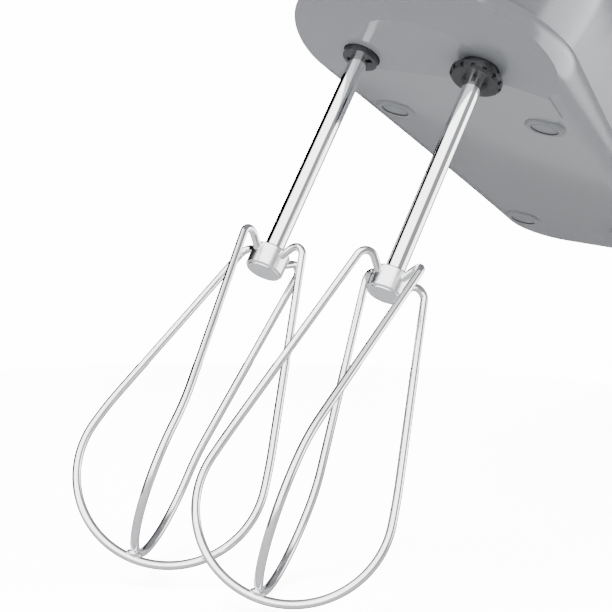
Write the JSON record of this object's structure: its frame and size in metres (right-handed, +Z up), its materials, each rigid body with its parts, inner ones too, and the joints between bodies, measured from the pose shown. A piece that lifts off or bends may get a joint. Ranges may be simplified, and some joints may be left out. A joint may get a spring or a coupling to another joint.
{
  "type": "hand mixer",
  "caption": "Electric hand mixer with a closed handle, a worm-driven twin-beater drive and twisted wire beaters, held beaters down.",
  "frame": {"origin": "middle of the hand grip, where the hand holds the mixer", "axes": "+Z up with the beaters hanging straight down, -Y towards the nose, +Y towards the heel, X sideways"},
  "size_m": [0.0903, 0.2083, 0.3077],
  "materials": {
    "housing_grey": "glossy",
    "foot_grey": "satin",
    "dark_plastic": "satin",
    "button_grey": "satin",
    "chrome_wire": "polished",
    "chrome": "polished",
    "zinc_steel": "satin",
    "gear_nylon": "satin",
    "cast_frame": "cast",
    "bronze": "satin",
    "ground_steel": "ground",
    "core_steel": "laminated",
    "copper": "enamelled",
    "carbon": "matte"
  },
  "bodies": {
    "housing": {"cord_gland": "dark_plastic", "ejector_spring": "zinc_steel", "field_coils": "copper", "foot_front_left": "foot_grey", "foot_front_right": "foot_grey", "foot_rear_left": "foot_grey", "foot_rear_right": "foot_grey", "front_motor_bush": "bronze", "gear_frame": "cast_frame", "handle_cover": "housing_grey", "housing_screws": "zinc_steel", "left_brush_holder": "dark_plastic", "left_carbon_brush": "carbon", "left_socket_bush": "bronze", "lower_housing": "housing_grey", "motor_bolts": "zinc_steel", "rear_bracket": "cast_frame", "rear_motor_bush": "bronze", "right_brush_holder": "dark_plastic", "right_carbon_brush": "carbon", "right_socket_bush": "bronze", "stator_core": "core_steel", "switch_block": "dark_plastic", "thrust_washers": "zinc_steel", "upper_housing": "housing_grey", "worm_end_bush": "bronze"},
    "armature": {"worm_shaft": "ground_steel", "armature_core": "core_steel", "armature_windings": "copper", "commutator": "copper", "cooling_fan": "dark_plastic"},
    "left_wheel": {"left_worm_wheel": "gear_nylon"},
    "right_wheel": {"right_worm_wheel": "gear_nylon"},
    "left_beater": {"left_beater_shaft": "chrome", "left_beater_hub": "chrome", "left_outer_loop": "chrome_wire", "left_inner_loop": "chrome_wire"},
    "right_beater": {"right_beater_shaft": "chrome", "right_beater_hub": "chrome", "right_outer_loop": "chrome_wire", "right_inner_loop": "chrome_wire", "right_collar": "dark_plastic"},
    "ejector": {"ejector_button": "button_grey", "ejector_yoke": "dark_plastic"},
    "slider": {"speed_slider": "button_grey"}
  },
  "joints": [
    {"name": "left_spin", "type": "hinge", "parent": "housing", "child": "left_wheel", "pos_m": [-0.02, -0.075, -0.0785], "axis": [0, 0, 1], "continuous": true},
    {"name": "right_spin", "type": "hinge", "parent": "housing", "child": "right_wheel", "pos_m": [0.02, -0.075, -0.0785], "axis": [0, 0, 1], "continuous": true},
    {"name": "motor_spin", "type": "hinge", "parent": "housing", "child": "armature", "pos_m": [0, -0.035, -0.0785], "axis": [0, 1, 0], "continuous": true},
    {"name": "ejector_press", "type": "slide", "parent": "housing", "child": "ejector", "axis": [0, 0, -1], "range_m": [0, 0.008], "stiffness_N_per_m": 600, "springref_m": -0.012, "deforming": ["ejector_spring"]},
    {"name": "left_release", "type": "slide", "parent": "left_wheel", "child": "left_beater", "axis": [0, 0, -1], "range_m": [0, 0.008]},
    {"name": "right_release", "type": "slide", "parent": "right_wheel", "child": "right_beater", "axis": [0, 0, -1], "range_m": [0, 0.008]},
    {"name": "speed_slide", "type": "slide", "parent": "housing", "child": "slider", "axis": [0, 1, 0], "range_m": [0, 0.02]}
  ],
  "couplings": [
    {"joint": "right_spin", "follows": "left_spin", "ratio": -1},
    {"joint": "motor_spin", "follows": "left_spin", "ratio": -15},
    {"joint": "left_release", "follows": "ejector_press", "ratio": 1},
    {"joint": "right_release", "follows": "ejector_press", "ratio": 1}
  ]
}
